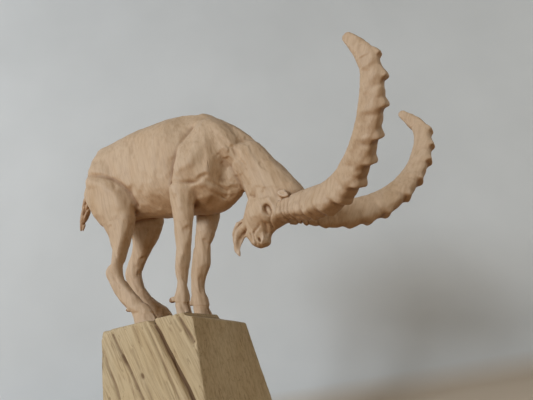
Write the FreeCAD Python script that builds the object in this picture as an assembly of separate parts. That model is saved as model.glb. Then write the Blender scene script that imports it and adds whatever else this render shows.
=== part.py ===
"""A carved wooden ibex that stands with all four hooves together on a split block.

The animal is arched over its hooves with its head tucked down, so that its long horns
sweep forward and up. It is built the way a spread-out carving is jointed: every limb is
a blank of its own with the grain along it, glued and dowelled on a flat joint face, and
the finished animal is pinned to the block through its hooves.

Frame, in millimetres: +X is the way the animal faces, +Y its left, +Z up. The origin is
on the block's underside, below the middle of the four hooves. The tables of the animal
give heights above the block's top, which TREAD adds.
"""

import FreeCAD
import Part
import math
import os

Vector = FreeCAD.Vector

# Driving dimensions
TREAD = 180.0  # height of the block's top, where the hooves stand
DOWEL_FIT = 0.05  # radial room for glue round every dowel
DOWEL_END_ROOM = 1.0  # each bore runs this far past its dowel's end
RING_POINTS = 16  # points of one carved cross-section
RIGHT, LEFT = -1, 1  # the side of the animal that a limb is on, as the sign of Y

# Joint faces between the glued blanks. The leg joints lie just below the barrel.
NECK_JOINT_X = 102.0
FRONT_LEG_JOINT = 126.0  # height above the hooves
HIND_LEG_JOINT = 158.0
HIND_LEG_JOINT_TO_X = -33.0  # the higher joint faces of the hind legs stay behind the belly
SPACE = 600.0  # larger than the carving, for the spaces that the joints cut


def at(x, y, height):
    """A point of the animal, with its height above the hooves."""
    return Vector(x, y, TREAD + height)


def ring(centre, u, v, u_plus, u_minus, v_half, power=2.0):
    """A closed smooth cross-section: superellipse halves of reach u_plus and u_minus along u."""
    points = []
    for k in range(RING_POINTS):
        angle = 2 * math.pi * k / RING_POINTS
        c, s = math.cos(angle), math.sin(angle)
        reach = u_plus if c > 0 else u_minus
        along = reach * math.copysign(abs(c) ** (2 / power), c)
        across = v_half * math.copysign(abs(s) ** (2 / power), s)
        points.append(centre + u * along + v * across)
    curve = Part.BSplineCurve()
    curve.interpolate(Points=points, PeriodicFlag=True)
    return Part.Wire([curve.toShape()])


def loft(sections):
    """The solid through closed wires, in order. A Part.Vertex closes an end to a point."""
    solid = Part.makeLoft(sections, True, False, False)
    if solid.Volume < 0:
        solid.reverse()
    return solid


def fused(first, *others):
    """One solid of several that overlap, added one by one."""
    for other in others:
        first = first.fuse(other)
    return first


def box_between(low, high):
    """The box between two opposite corners."""
    size = high - low
    return Part.makeBox(size.x, size.y, size.z, low)


def half_space(point, normal):
    """A large box on the side of a plane that its normal points to."""
    box = Part.makeBox(SPACE, SPACE, SPACE, Vector(-SPACE / 2, -SPACE / 2, 0))
    box.Placement = FreeCAD.Placement(point, FreeCAD.Rotation(Vector(0, 0, 1), normal))
    return box


def mirrored(shape):
    """The same shape on the animal's other side."""
    return shape.mirror(Vector(0, 0, 0), Vector(0, 1, 0))


def profile_loft(rows, side=0):
    """A limb in the animal's length-and-height plane.

    Each row is (front x, front height, back x, back height, half width, y): the two ends
    of a cross-section, whose plane stands square to the middle plane, then its half width
    and its distance from the middle plane.
    """
    sections = []
    for front_x, front_h, back_x, back_h, half_width, y in rows:
        front = at(front_x, y * side, front_h)
        back = at(back_x, y * side, back_h)
        half = (front - back).Length / 2
        u = (front - back).normalize()
        sections.append(ring((front + back) / 2, u, Vector(0, 1, 0), half, half, half_width))
    return loft(sections)


# The barrel, from the buttocks to the chest: x, top, bottom, widest height, half width
BARREL = [
    (-150, 252, 220, 238, 6),
    (-145, 263, 200, 236, 13),
    (-133, 283, 182, 238, 24),
    (-113, 301, 172, 240, 35),
    (-85, 305, 168, 240, 42),
    (-50, 309, 166, 236, 45),
    (-10, 311, 155, 230, 48),
    (30, 309, 148, 228, 49),
    (62, 303, 141, 224, 45),
    (88, 291, 138, 212, 38),
    (110, 268, 145, 202, 28),
    (126, 240, 155, 194, 18),
    (134, 212, 168, 188, 8),
]


def barrel():
    """Rump, belly, ribs, withers and chest as one egg-sectioned body."""
    sections = []
    for x, top, bottom, middle, half_width in BARREL:
        centre = at(x, 0, middle)
        up, across = Vector(0, 0, 1), Vector(0, 1, 0)
        sections.append(ring(centre, up, across, top - middle, middle - bottom, half_width, 2.15))
    return loft(sections)


# The neck, from inside the withers down to the poll, and the head from poll to muzzle,
# as rows for profile_loft
NECK = [
    (78, 298, 88, 180, 33, 0),
    (106, 283, 104, 174, 32, 0),
    (134, 259, 113, 184, 29, 0),
    (161, 226, 121, 182, 27, 0),
    (184, 192, 127, 170, 26, 0),
    (203, 164, 133, 154, 25, 0),
    (213, 142, 136, 142, 24, 0),
    (204, 112, 135, 130, 21, 0),
]
HEAD = [
    (204, 160, 150, 152, 17, 0),
    (212, 138, 138, 142, 23, 0),
    (203, 112, 132, 134, 25, 0),
    (184, 95, 126, 122, 23, 0),
    (170, 90, 121, 111, 18, 0),
    (161, 84, 119, 101, 15, 0),
    (153, 77, 121, 93, 13, 0),
    (146, 71, 126, 87, 12, 0),
    (140, 69, 130, 80, 9, 0),
]
BEARD = [
    (131, 100, 113, 118, 7, 0),
    (124, 94, 106, 110, 7, 0),
    (118, 87, 101, 99, 6, 0),
    (114, 80, 100, 88, 5, 0),
    (111, 74, 102, 78, 4, 0),
    (108, 67, 104, 68, 2, 0),
]


def ear():
    """The left ear: a small leaf that lies back along the neck, above the horn's root."""
    root, tip = at(188, 17, 120), at(207, 30, 137)
    axis = (tip - root).normalize()
    across = axis.cross(Vector(0, 1, 0)).normalize()
    thick = axis.cross(across).normalize()
    bulge, narrow = root + (tip - root) * 0.5, root + (tip - root) * 0.8
    return loft(
        [
            ring(root, across, thick, 4, 4, 4),
            ring(bulge, across, thick, 6, 6, 3),
            ring(narrow, across, thick, 3.5, 3.5, 2),
            Part.Vertex(tip),
        ]
    )


# The middle line of a horn, drawn for the left: x, y, height, half depth
HORN = [
    (186, 13, 110, 14.5),
    (208, 20, 107, 17.0),
    (238, 33, 101, 20.0),
    (268, 48, 97, 20.5),
    (298, 66, 102, 20.0),
    (325, 86, 118, 18.5),
    (345, 104, 141, 17.0),
    (358, 117, 168, 15.5),
    (365, 125, 195, 13.5),
    (366, 130, 218, 11.0),
    (361, 132, 236, 7.5),
    (347, 132, 254, 0.0),
]
HORN_REACH = {RIGHT: 1.0, LEFT: 1.06}  # the left horn curves a little wider
HORN_WIDTH_SHARE = 0.80  # a horn is narrower than it is deep
HORN_JOINT_SHARE = 0.35  # the joint face lies this far along the first stretch
HORN_SPLAY = Vector(0.30, 1.0, 0.0)  # the sideways direction that a horn's section is laid to
KNOB_COUNT = 11
KNOB_FIRST, KNOB_LAST = 0.22, 0.92  # shares of the way along the horn
KNOB_HALF = (5.0, 9.0, 4.5)  # half sizes of a knob on the deepest part: out, across, along


def horn_points(side):
    """The middle line of a horn, drawn for the left whichever side it is for."""
    points = [at(x, y, h) for x, y, h, _ in HORN]
    return [points[0] + (point - points[0]) * HORN_REACH[side] for point in points]


def horn_station(side, share):
    """The horn's middle, direction, outward and sideways directions and half depth."""
    place = min(share, 0.999) * (len(HORN) - 1)
    k = int(place)
    rest = place - k
    points = horn_points(side)
    point = points[k] * (1 - rest) + points[k + 1] * rest
    back, ahead = points[max(k - 1, 0)], points[min(k + 2, len(points) - 1)]
    direction = (points[k + 1] - back) * (1 - rest) + (ahead - points[k]) * rest
    direction.normalize()
    outward = HORN_SPLAY.cross(direction).normalize()
    across = direction.cross(outward).normalize()
    depth = HORN[k][3] * (1 - rest) + HORN[k + 1][3] * rest
    return point, direction, outward, across, depth


def horn_blank(side):
    """The bare horn, without its knobs."""
    sections = [Part.Vertex(horn_points(side)[-1])]
    for k in reversed(range(len(HORN) - 1)):
        point, _, outward, across, depth = horn_station(side, k / (len(HORN) - 1))
        sections.append(ring(point, outward, across, depth, depth, depth * HORN_WIDTH_SHARE))
    return loft(sections)


def knob(side, share):
    """One of the knobs across the outer curve of a horn."""
    point, direction, outward, across, depth = horn_station(side, share)
    scale = 0.5 + 0.5 * depth / max(row[3] for row in HORN)
    out, wide, along = (half * scale for half in KNOB_HALF)
    centre = point + outward * (depth - 0.2 * out)
    stretch = FreeCAD.Matrix()
    stretch.scale(out, wide, along)
    turn = FreeCAD.Placement(centre, FreeCAD.Rotation(outward, across, direction, "ZXY"))
    ball = Part.makeSphere(1.0).transformGeometry(stretch)
    ball.Placement = turn
    return ball


def horn_joint():
    """A horn's joint face: its middle, and the direction along the horn."""
    first, second = horn_points(RIGHT)[:2]
    return first + (second - first) * HORN_JOINT_SHARE, (second - first).normalize()


def horn(side):
    """A horn, from its joint face to its tip, with the knobs along its outer curve."""
    step = (KNOB_LAST - KNOB_FIRST) / (KNOB_COUNT - 1)
    knobs = [knob(side, KNOB_FIRST + step * k) for k in range(KNOB_COUNT)]
    whole = fused(horn_blank(side).common(half_space(*horn_joint())), *knobs)
    return whole if side == LEFT else mirrored(whole)


def horn_core(side):
    """The stub on the head that a horn is glued to."""
    core = horn_blank(side).cut(half_space(*horn_joint()))
    return core if side == LEFT else mirrored(core)


# Legs, from the body down, as rows for profile_loft. The right legs differ a little from
# the left ones, as in any carving.
FRONT_LEGS = {
    RIGHT: [
        (92, 262, 60, 262, 16, 36),
        (100, 236, 50, 236, 21, 37),
        (88, 198, 38, 200, 21, 37),
        (70, 164, 30, 170, 16, 37),
        (64, 140, 31, 140, 13, 37),
        (57, 112, 30, 112, 11, 36),
        (50, 86, 27, 86, 10.5, 35),
        (45, 70, 24, 70, 11, 34),
        (39, 50, 22, 50, 8.5, 33),
        (36, 33, 20, 33, 8.5, 32),
        (36, 22, 16, 24, 10.5, 31),
        (36, 12, 15, 12, 11.5, 31),
        (39, 0, 13, 0, 13, 31),
    ],
    LEFT: [
        (92, 262, 60, 262, 16, 36),
        (100, 236, 50, 236, 21, 37),
        (88, 198, 38, 200, 21, 37),
        (70, 164, 28, 170, 16, 36),
        (63, 142, 24, 142, 14, 36),
        (51, 116, 18, 116, 12, 35),
        (42, 94, 12, 94, 11, 34),
        (39, 76, 8, 76, 12, 33),
        (29, 56, 5, 56, 10, 32),
        (25, 36, 3, 36, 9.5, 31),
        (28, 24, 2, 24, 11, 31),
        (30, 13, 3, 13, 12, 31),
        (35, 0, 4, 0, 13.5, 31),
    ],
}
HIND_LEGS = {
    RIGHT: [
        (-78, 264, -118, 264, 14, 25),
        (-62, 226, -128, 230, 19, 28),
        (-48, 196, -126, 200, 19, 31),
        (-44, 172, -108, 168, 18, 32),
        (-50, 146, -92, 142, 14, 33),
        (-60, 122, -87, 118, 11.5, 33),
        (-70, 103, -89, 98, 10, 33),
        (-76, 84, -97, 86, 10.5, 33),
        (-70, 64, -91, 60, 9.5, 32),
        (-57, 46, -78, 38, 9, 32),
        (-41, 31, -65, 21, 10.5, 31),
        (-27, 17, -60, 9, 12, 31),
        (-18, 0, -57, 0, 13, 31),
    ],
    LEFT: [
        (-78, 264, -118, 264, 14, 25),
        (-60, 226, -128, 230, 19, 28),
        (-42, 196, -126, 200, 19, 31),
        (-34, 172, -110, 168, 18, 32),
        (-42, 149, -98, 149, 15, 32),
        (-59, 127, -98, 130, 12.5, 31),
        (-76, 108, -106, 113, 11, 31),
        (-87, 88, -113, 92, 11, 31),
        (-82, 64, -106, 64, 10, 31),
        (-68, 45, -91, 38, 10, 31),
        (-52, 31, -76, 21, 11, 31),
        (-38, 17, -68, 9, 12, 31),
        (-31, 0, -66, 0, 13, 31),
    ],
}


TAIL = [
    (-139, 265, -147, 262, 6, 0),
    (-147, 246, -157, 243, 7, 0),
    (-151, 228, -165, 226, 7, 0),
    (-155, 208, -172, 206, 7, 0),
    (-163, 190, -177, 189, 5, 0),
    (-171, 175, -178, 174, 2, 0),
]

# The block's outline, corner by corner: x and y at the top, then at the foot
BLOCK_TOP = [(-104, -52), (-30, -55), (50, -50), (62, 8), (66, 66), (20, 76), (-60, 72), (-98, 60)]
BLOCK_FOOT = [(-110, -56), (-28, -62), (60, -54), (80, 12), (98, 78), (26, 92), (-66, 88), (-106, 70)]


def block():
    """A split block, wider at the foot, with a split-off top edge at the back left."""
    top = Part.makePolygon([Vector(x, y, TREAD) for x, y in BLOCK_TOP + BLOCK_TOP[:1]])
    foot = Part.makePolygon([Vector(x, y, 0) for x, y in BLOCK_FOOT + BLOCK_FOOT[:1]])
    whole = Part.makeLoft([foot, top], True, True, False)
    whole = whole.cut(half_space(Vector(40, 56, TREAD), Vector(0.10, 0.35, 0.93)))
    return whole.cut(half_space(Vector(-84, -50, TREAD), Vector(-0.45, -0.35, 0.82)))


def dowel(middle, axis, radius, length):
    """A peg across a joint face, and the bore for it: (peg, bore)."""
    along = Vector(axis).normalize()
    start = middle - along * (length / 2)
    peg = Part.makeCylinder(radius, length, start, along)
    bore_start = start - along * DOWEL_END_ROOM
    bore = Part.makeCylinder(radius + DOWEL_FIT, length + 2 * DOWEL_END_ROOM, bore_start, along)
    return peg, bore


def horn_dowel():
    """The left horn's dowel and its bore."""
    point, normal = horn_joint()
    return dowel(point, normal, 5, 44)


UP, AHEAD = Vector(0, 0, 1), Vector(1, 0, 0)
NECK_DOWELS = {
    "upper_neck_dowel": dowel(at(NECK_JOINT_X, 0, 238), AHEAD, 6, 50),
    "lower_neck_dowel": dowel(at(NECK_JOINT_X, 0, 192), AHEAD, 6, 50),
}
HORN_DOWELS = {
    "right_horn_dowel": tuple(mirrored(shape) for shape in horn_dowel()),
    "left_horn_dowel": horn_dowel(),
}
LEG_DOWELS = {
    "front_right_leg_dowel": dowel(at(46, -36.5, FRONT_LEG_JOINT), UP, 5, 40),
    "front_left_leg_dowel": dowel(at(38, 35.5, FRONT_LEG_JOINT), UP, 5, 40),
    "hind_right_leg_dowel": dowel(at(-74, -32.5, HIND_LEG_JOINT), UP, 6, 48),
    "hind_left_leg_dowel": dowel(at(-71, 32, HIND_LEG_JOINT), UP, 6, 48),
}
HOOF_PINS = {
    "front_right_hoof_pin": dowel(at(26, -31, -2), UP, 3, 34),
    "front_left_hoof_pin": dowel(at(19, 31, -2), UP, 3, 34),
    "hind_right_hoof_pin": dowel(at(-40, -31, -2), UP, 3, 34),
    "hind_left_hoof_pin": dowel(at(-50, 31, -2), UP, 3, 34),
}
TAIL_DOWEL = {"tail_dowel": dowel(at(-146, 0, 246), AHEAD, 2.5, 16)}


def bored(shape, *dowel_sets):
    """The shape with the bores of every given dowel."""
    for dowels in dowel_sets:
        for _, bore in dowels.values():
            shape = shape.cut(bore)
    return shape


def animal():
    """The carved pieces of the animal by name."""
    front_legs = {side: profile_loft(FRONT_LEGS[side], side) for side in (RIGHT, LEFT)}
    hind_legs = {side: profile_loft(HIND_LEGS[side], side) for side in (RIGHT, LEFT)}
    trunk = barrel()
    neck = profile_loft(NECK)
    horns = {side: horn(side) for side in (RIGHT, LEFT)}
    left_ear = ear()

    ahead = half_space(at(NECK_JOINT_X, 0, 0), AHEAD)
    throat = trunk.fuse(neck).common(ahead)
    face = fused(profile_loft(HEAD), profile_loft(BEARD), left_ear, mirrored(left_ear))
    head = fused(throat, face, horn_core(RIGHT), horn_core(LEFT))
    head = head.cut(horns[RIGHT]).cut(horns[LEFT])

    body = fused(trunk, *front_legs.values(), *hind_legs.values(), neck).cut(ahead)
    below = box_between(
        Vector(-SPACE, -SPACE, 0), Vector(SPACE, SPACE, TREAD + FRONT_LEG_JOINT)
    )
    below_thighs = below.fuse(
        box_between(
            Vector(-SPACE, -SPACE, 0), Vector(HIND_LEG_JOINT_TO_X, SPACE, TREAD + HIND_LEG_JOINT)
        )
    )
    torso = body.cut(below_thighs)
    tail = profile_loft(TAIL).cut(torso)

    pieces = {
        "torso": bored(torso, NECK_DOWELS, LEG_DOWELS, TAIL_DOWEL),
        "head_and_neck": bored(head, NECK_DOWELS, HORN_DOWELS),
        "right_horn": bored(horns[RIGHT], HORN_DOWELS),
        "left_horn": bored(horns[LEFT], HORN_DOWELS),
        "tail": bored(tail, TAIL_DOWEL),
    }
    for side, word in ((RIGHT, "right"), (LEFT, "left")):
        front = front_legs[side].common(below)
        hind = hind_legs[side].common(below_thighs)
        pieces["front_%s_leg" % word] = bored(front, LEG_DOWELS, HOOF_PINS)
        pieces["hind_%s_leg" % word] = bored(hind, LEG_DOWELS, HOOF_PINS)
    return pieces


nodes = {"base_block": bored(block(), HOOF_PINS)}
nodes.update(animal())
for dowels in (NECK_DOWELS, HORN_DOWELS, LEG_DOWELS, HOOF_PINS, TAIL_DOWEL):
    nodes.update({name: peg for name, (peg, _) in dowels.items()})

os.makedirs("parts", exist_ok=True)
for name, shape in nodes.items():
    solids = shape.Solids
    if len(solids) != 1 or not solids[0].isValid():
        raise ValueError("%s should be one sound solid, and has %d" % (name, len(solids)))
    solids[0].exportStep("parts/%s.step" % name)
    print("%-22s %10.0f mm3" % (name, solids[0].Volume))
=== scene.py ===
"""The looks of the carved ibex: knife-cut pale wood, on a rough split block.

Every piece is carved from voxels that start as the CAD pieces, in millimetres: "clay"
below is a block of signed distances, negative inside the wood. It is turned into a mesh,
cut into flat knife facets, parted at the CAD's joint faces and then scaled to metres.
"""

import math
from collections import namedtuple
from contextlib import contextmanager

import bmesh
import bpy
import numpy as np
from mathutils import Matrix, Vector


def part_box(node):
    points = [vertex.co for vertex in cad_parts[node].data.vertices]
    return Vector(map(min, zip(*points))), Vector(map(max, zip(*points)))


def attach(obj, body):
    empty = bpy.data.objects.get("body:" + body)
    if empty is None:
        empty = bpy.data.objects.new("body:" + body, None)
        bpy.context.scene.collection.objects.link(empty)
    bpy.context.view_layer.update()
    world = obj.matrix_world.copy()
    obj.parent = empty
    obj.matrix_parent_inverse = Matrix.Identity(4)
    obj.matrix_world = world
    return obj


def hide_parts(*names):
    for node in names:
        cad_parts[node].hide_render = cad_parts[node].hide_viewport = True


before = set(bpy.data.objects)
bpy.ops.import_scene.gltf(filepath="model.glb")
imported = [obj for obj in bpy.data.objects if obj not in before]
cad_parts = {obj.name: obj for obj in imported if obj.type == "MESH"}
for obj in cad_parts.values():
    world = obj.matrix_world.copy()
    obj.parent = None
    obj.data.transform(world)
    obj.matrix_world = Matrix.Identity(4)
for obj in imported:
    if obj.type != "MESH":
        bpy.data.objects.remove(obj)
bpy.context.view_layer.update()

import openvdb as vdb
from mathutils import Matrix, Vector, kdtree

MM = 0.001
SIDES = (-1, 1)  # right and left, as the sign of Y
BAND = 10.0  # distances are kept out to this far from a surface
COARSE = 1.0
TORSO_VOXEL, HEAD_VOXEL, LEG_VOXEL, TAIL_VOXEL, BLOCK_VOXEL = 1.5, 0.9, 1.0, 0.7, 1.5
JOINT_BLEND = 3.0  # joins the CAD's pieces again across their joint faces
MASS_SOFTNESS, CUT_SOFTNESS = 2.4, 0.7  # rounding of the large forms, and of what is cut in them
DOWEL_GAP, HORN_GAP = 0.3, 0.1  # how much wider a bore is than its dowel, and a horn's socket
SHARP_ANGLE = math.radians(50)

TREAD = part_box("base_block")[1][2] / MM  # the block's top
NECK_JOINT_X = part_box("torso")[1][0] / MM
FRONT_LEG_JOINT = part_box("front_right_leg")[1][2] / MM - TREAD
HIND_LEG_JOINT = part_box("hind_right_leg")[1][2] / MM - TREAD
HIND_LEG_JOINT_TO_X = -33.0  # the hind legs' higher joint faces end here, behind the belly
DOWELS = [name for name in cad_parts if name.endswith(("_dowel", "_pin"))]
LEGS = ["front_right_leg", "front_left_leg", "hind_right_leg", "hind_left_leg"]


def side_of(name):
    return -1 if "right" in name else 1


def at(x, y, height):
    """A point of the animal, with its height above the hooves."""
    return np.array([x, y, TREAD + height], float)


def unit(v):
    v = np.asarray(v, float)
    return v / np.linalg.norm(v)


def smoothstep(value, low, high):
    t = np.clip((value - low) / (high - low), 0, 1)
    return t * t * (3 - 2 * t)


def mesh_triangles(piece):
    """A mesh object's vertices in millimetres, and its triangles."""
    mesh = piece.data
    mesh.calc_loop_triangles()
    points = np.empty(len(mesh.vertices) * 3, np.float32)
    mesh.vertices.foreach_get("co", points)
    corners = np.empty(len(mesh.loop_triangles) * 3, np.int32)
    mesh.loop_triangles.foreach_get("vertices", corners)
    return points.reshape(-1, 3) / MM, corners.reshape(-1, 3).astype(np.uint32)


def smooth_min(a, b, k):
    h = np.maximum(k - np.abs(a - b), 0) / k
    return np.minimum(a, b) - h * h * k / 4


def box_mm(node):
    """The lowest and highest corner of a CAD node's box, in millimetres."""
    return (np.array(corner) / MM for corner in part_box(node))


def blur(d, times):
    """Averages a block with its neighbours along each axis, over and over, in place."""
    for _ in range(max(1, round(times))):
        for axis in range(3):
            e = np.moveaxis(d, axis, 0)
            e[1:-1] = 0.25 * e[:-2] + 0.5 * e[1:-1] + 0.25 * e[2:]


def corner_shares(t):
    """A cell's eight corners, each with its share of the points at t inside the cell."""
    for k in range(8):
        corner = np.array([k & 1, k >> 1 & 1, k >> 2 & 1])
        yield corner, np.prod(np.where(corner == 1, t, 1 - t), axis=1)


LEVEL_SETS = {}


def level_set(piece, voxel):
    """The grid of distances to a closed mesh object, made once for each voxel size."""
    key = (piece.name, voxel)
    if key not in LEVEL_SETS:
        points, triangles = mesh_triangles(piece)
        LEVEL_SETS[key] = vdb.FloatGrid.createLevelSetFromPolygons(
            points,
            triangles=triangles,
            transform=vdb.createLinearTransform(voxel),
            halfWidth=BAND / voxel,
        )
    return LEVEL_SETS[key]


class Clay:
    """A block of signed distances in millimetres, negative inside."""

    def __init__(self, low, high, voxel):
        self.voxel = voxel * COARSE
        self.first = np.floor(np.asarray(low) / self.voxel).astype(int) - 3
        last = np.ceil(np.asarray(high) / self.voxel).astype(int) + 3
        self.d = np.full(tuple(last - self.first + 1), BAND, np.float32)
        places = (first + np.arange(n) for first, n in zip(self.first, self.d.shape))
        lines = [(place * self.voxel).astype(np.float32) for place in places]
        self.x, self.y, self.z = np.ix_(*lines)

    def of_piece(self, piece):
        """The distances to a closed mesh object on this block's voxels."""
        d = np.empty(self.d.shape, np.float32)
        level_set(piece, self.voxel).copyToArray(d, ijk=tuple(int(v) for v in self.first))
        return d

    def of_node(self, name):
        return self.of_piece(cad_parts[name])

    def window(self, low, high):
        """The part of the block round a shape: its slices and its coordinates there."""
        low = np.floor(np.asarray(low) / self.voxel).astype(int) - self.first
        high = np.ceil(np.asarray(high) / self.voxel).astype(int) - self.first + 1
        low, high = np.maximum(low, 0), np.minimum(high, self.d.shape)
        if (low >= high).any():
            return None, None
        sx, sy, sz = (slice(*ends) for ends in zip(low, high))
        return (sx, sy, sz), (self.x[sx], self.y[:, sy], self.z[:, :, sz])

    def join(self, shape, k, sign=1):
        """Adds a shape, blended over about k millimetres, or with sign -1 takes it away."""
        low, high, distance = shape
        part, xyz = self.window(np.asarray(low) - k - 2, np.asarray(high) + k + 2)
        if part is not None:
            self.d[part] = sign * smooth_min(sign * self.d[part], distance(*xyz), k)

    def carve(self, shape, k):
        """Takes a shape away, with an edge softened over about k millimetres."""
        self.join(shape, k, -1)

    def stroke(self, points, width, height, inner=2.0, side=0):
        """Raises or, with a negative height, cuts the side along a line of (x, height above
        the hooves) points, as seen square on. inner is how far from the middle plane it
        starts, and side is -1, 1 or 0 for both."""
        line = np.array([(x, TREAD + h) for x, h in points], float)
        reach = 2.6 * width
        low = (line[:, 0].min() - reach, -200, line[:, 1].min() - reach)
        high = (line[:, 0].max() + reach, 200, line[:, 1].max() + reach)
        part, xyz = self.window(low, high)
        if part is None:
            return
        x, y, z = xyz
        nearest = np.full((x.shape[0], z.shape[-1]), 1e9, np.float32)
        x, z = x.reshape(-1, 1), z.reshape(1, -1)
        for (ax, az), (bx, bz) in zip(line[:-1], line[1:]):
            dx, dz = bx - ax, bz - az
            t = np.clip(((x - ax) * dx + (z - az) * dz) / (dx * dx + dz * dz), 0, 1)
            nearest = np.minimum(nearest, (x - ax - t * dx) ** 2 + (z - az - t * dz) ** 2)
        amount = height * np.exp(-nearest / width**2)
        lateral = smoothstep(np.abs(y) if side == 0 else y * side, inner, inner + 5)
        self.d[part] -= amount[:, None, :] * lateral

    def soften(self, sigma):
        """Rounds everything over about sigma millimetres."""
        blur(self.d, 2 * (sigma / self.voxel) ** 2)

    def melt(self, centre, radius, sigma):
        """Rounds over about sigma millimetres inside a ball, fading out towards its skin."""
        centre = np.asarray(centre, float)
        part, xyz = self.window(centre - radius, centre + radius)
        if part is None:
            return
        soft = self.d[part].copy()
        blur(soft, 2 * (sigma / self.voxel) ** 2)
        x, y, z = xyz
        far = np.sqrt((x - centre[0]) ** 2 + (y - centre[1]) ** 2 + (z - centre[2]) ** 2)
        share = 1 - smoothstep(far, 0.45 * radius, 0.95 * radius)
        self.d[part] += share * (soft - self.d[part])

    def sink(self, height):
        """Carries on downward whatever the block holds at a height."""
        k = int(round(height / self.voxel)) - self.first[2]
        if k > 0:
            self.d[:, :, :k] = self.d[:, :, k : k + 1]

    def mesh(self):
        """The surface: vertices and quads, facing outward."""
        grid = vdb.FloatGrid(BAND)
        grid.transform = vdb.createLinearTransform(self.voxel)
        grid.copyFromArray(self.d, ijk=tuple(int(v) for v in self.first))
        points, quads = grid.convertToQuads(0.0)
        points = np.asarray(points, float)
        quads = np.asarray(quads, int)
        a, b, c, e = (points[quads[:, k]] for k in range(4))
        volume = np.einsum("ij,ij->i", a, np.cross(b - a, c - a) + np.cross(c - a, e - a)).sum()
        if volume < 0:
            quads = quads[:, ::-1]
        return points, quads

    def hollowness(self, points, reach):
        """How deep in a hollow each point lies: 0.5 on a flat, more in a crease."""
        solid = np.clip(0.5 - self.d / self.voxel, 0, 1)
        blur(solid, (reach / self.voxel) ** 2)
        place = points / self.voxel - self.first
        low = np.clip(np.floor(place).astype(int), 0, np.array(self.d.shape) - 2)
        total = np.zeros(len(points))
        for corner, share in corner_shares(place - low):
            i, j, k = (low + corner).T
            total += share * solid[i, j, k]
        return total


def basis(aim):
    """Three square directions: along aim, as near +Y as it can be, and square to both."""
    a = unit(aim)
    b = unit(np.array([0.0, 1.0, 0.0]) - a * a[1])
    return a, b, np.cross(a, b)


def blob(centre, radii, aim=(1, 0, 0)):
    """An ellipsoid: radii along aim, then towards Y, then square to both."""
    centre = np.asarray(centre, float)
    reach = max(radii)

    def distance(x, y, z):
        dx, dy, dz = x - centre[0], y - centre[1], z - centre[2]
        squares = slopes = 0
        for axis, radius in zip(basis(aim), radii):
            u = (dx * axis[0] + dy * axis[1] + dz * axis[2]) / radius
            squares = squares + u * u
            slopes = slopes + (u / radius) ** 2
        far = np.sqrt(squares)
        return far * (far - 1) / np.maximum(np.sqrt(slopes), 1e-6)

    return centre - reach, centre + reach, distance


def rod(a, b, ra, rb, flat=1.0):
    """A tapering rod from a to b, flat times as thick towards Y as it is square to that."""
    a, b = np.asarray(a, float), np.asarray(b, float)
    ab = b - a
    reach = max(ra, rb)

    def distance(x, y, z):
        dx, dy, dz = x - a[0], (y - a[1]) / flat, z - a[2]
        t = np.clip((dx * ab[0] + dy * ab[1] / flat + dz * ab[2]) / ab.dot(ab), 0, 1)
        far = np.sqrt((dx - t * ab[0]) ** 2 + (dy - t * ab[1] / flat) ** 2 + (dz - t * ab[2]) ** 2)
        return (far - (ra + t * (rb - ra))) * min(flat, 1.0)

    return np.minimum(a, b) - reach, np.maximum(a, b) + reach, distance


def beyond(point, normal, low, high):
    """Everything past a plane, inside a box."""
    point, normal = np.asarray(point, float), unit(normal)

    def distance(x, y, z):
        dx, dy, dz = x - point[0], y - point[1], z - point[2]
        return -(dx * normal[0] + dy * normal[1] + dz * normal[2])

    return low, high, distance


# ---- noise and knife facets


def lattice_noise(points, scale, seed):
    """Smooth noise between -1 and 1 at points, with features about scale across."""
    p = points / np.asarray(scale, float)
    cell = np.floor(p).astype(np.int64)
    t = p - cell
    t = t * t * (3 - 2 * t)
    total = np.zeros(len(p))
    for corner, share in corner_shares(t):
        # each lattice point's own value comes from its place, scrambled by large primes
        i, j, k = (cell + corner).T
        h = (i * 73856093) ^ (j * 19349663) ^ (k * 83492791) ^ (seed * 2654435761)
        h = (h ^ (h >> 13)) * 1274126177 & 0x7FFFFFFF
        total += share * ((h % 65521) / 32760.0 - 1)
    return total


def vertex_normals(points, faces):
    a, b, c, e = (points[faces[:, k]] for k in range(4))
    normal = np.cross(c - a, e - b)
    total = np.zeros_like(points)
    for k in range(4):
        np.add.at(total, faces[:, k], normal)
    return total / np.maximum(np.linalg.norm(total, axis=1), 1e-9)[:, None]


def even_out(values, faces, times):
    """Averages rows of values at the vertices with their neighbours', over and over."""
    corners = faces.ravel()
    count = np.maximum(np.bincount(corners, minlength=len(values)), 1)
    for _ in range(times):
        mean = np.repeat(values[faces].mean(axis=1), 4, axis=0)
        values = np.stack([np.bincount(corners, column, len(values)) for column in mean.T], axis=1)
        values /= count[:, None]
    return values


CUTS_KEPT = 0.62  # the share of the likely places where a cut is made
DEEPEST_CUT, HIGHEST_EDGE = -1.3, 0.7  # how far a cut may move the surface in or out
EDGES_EVENED = 4  # how many times the cuts' edges are rounded


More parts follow.
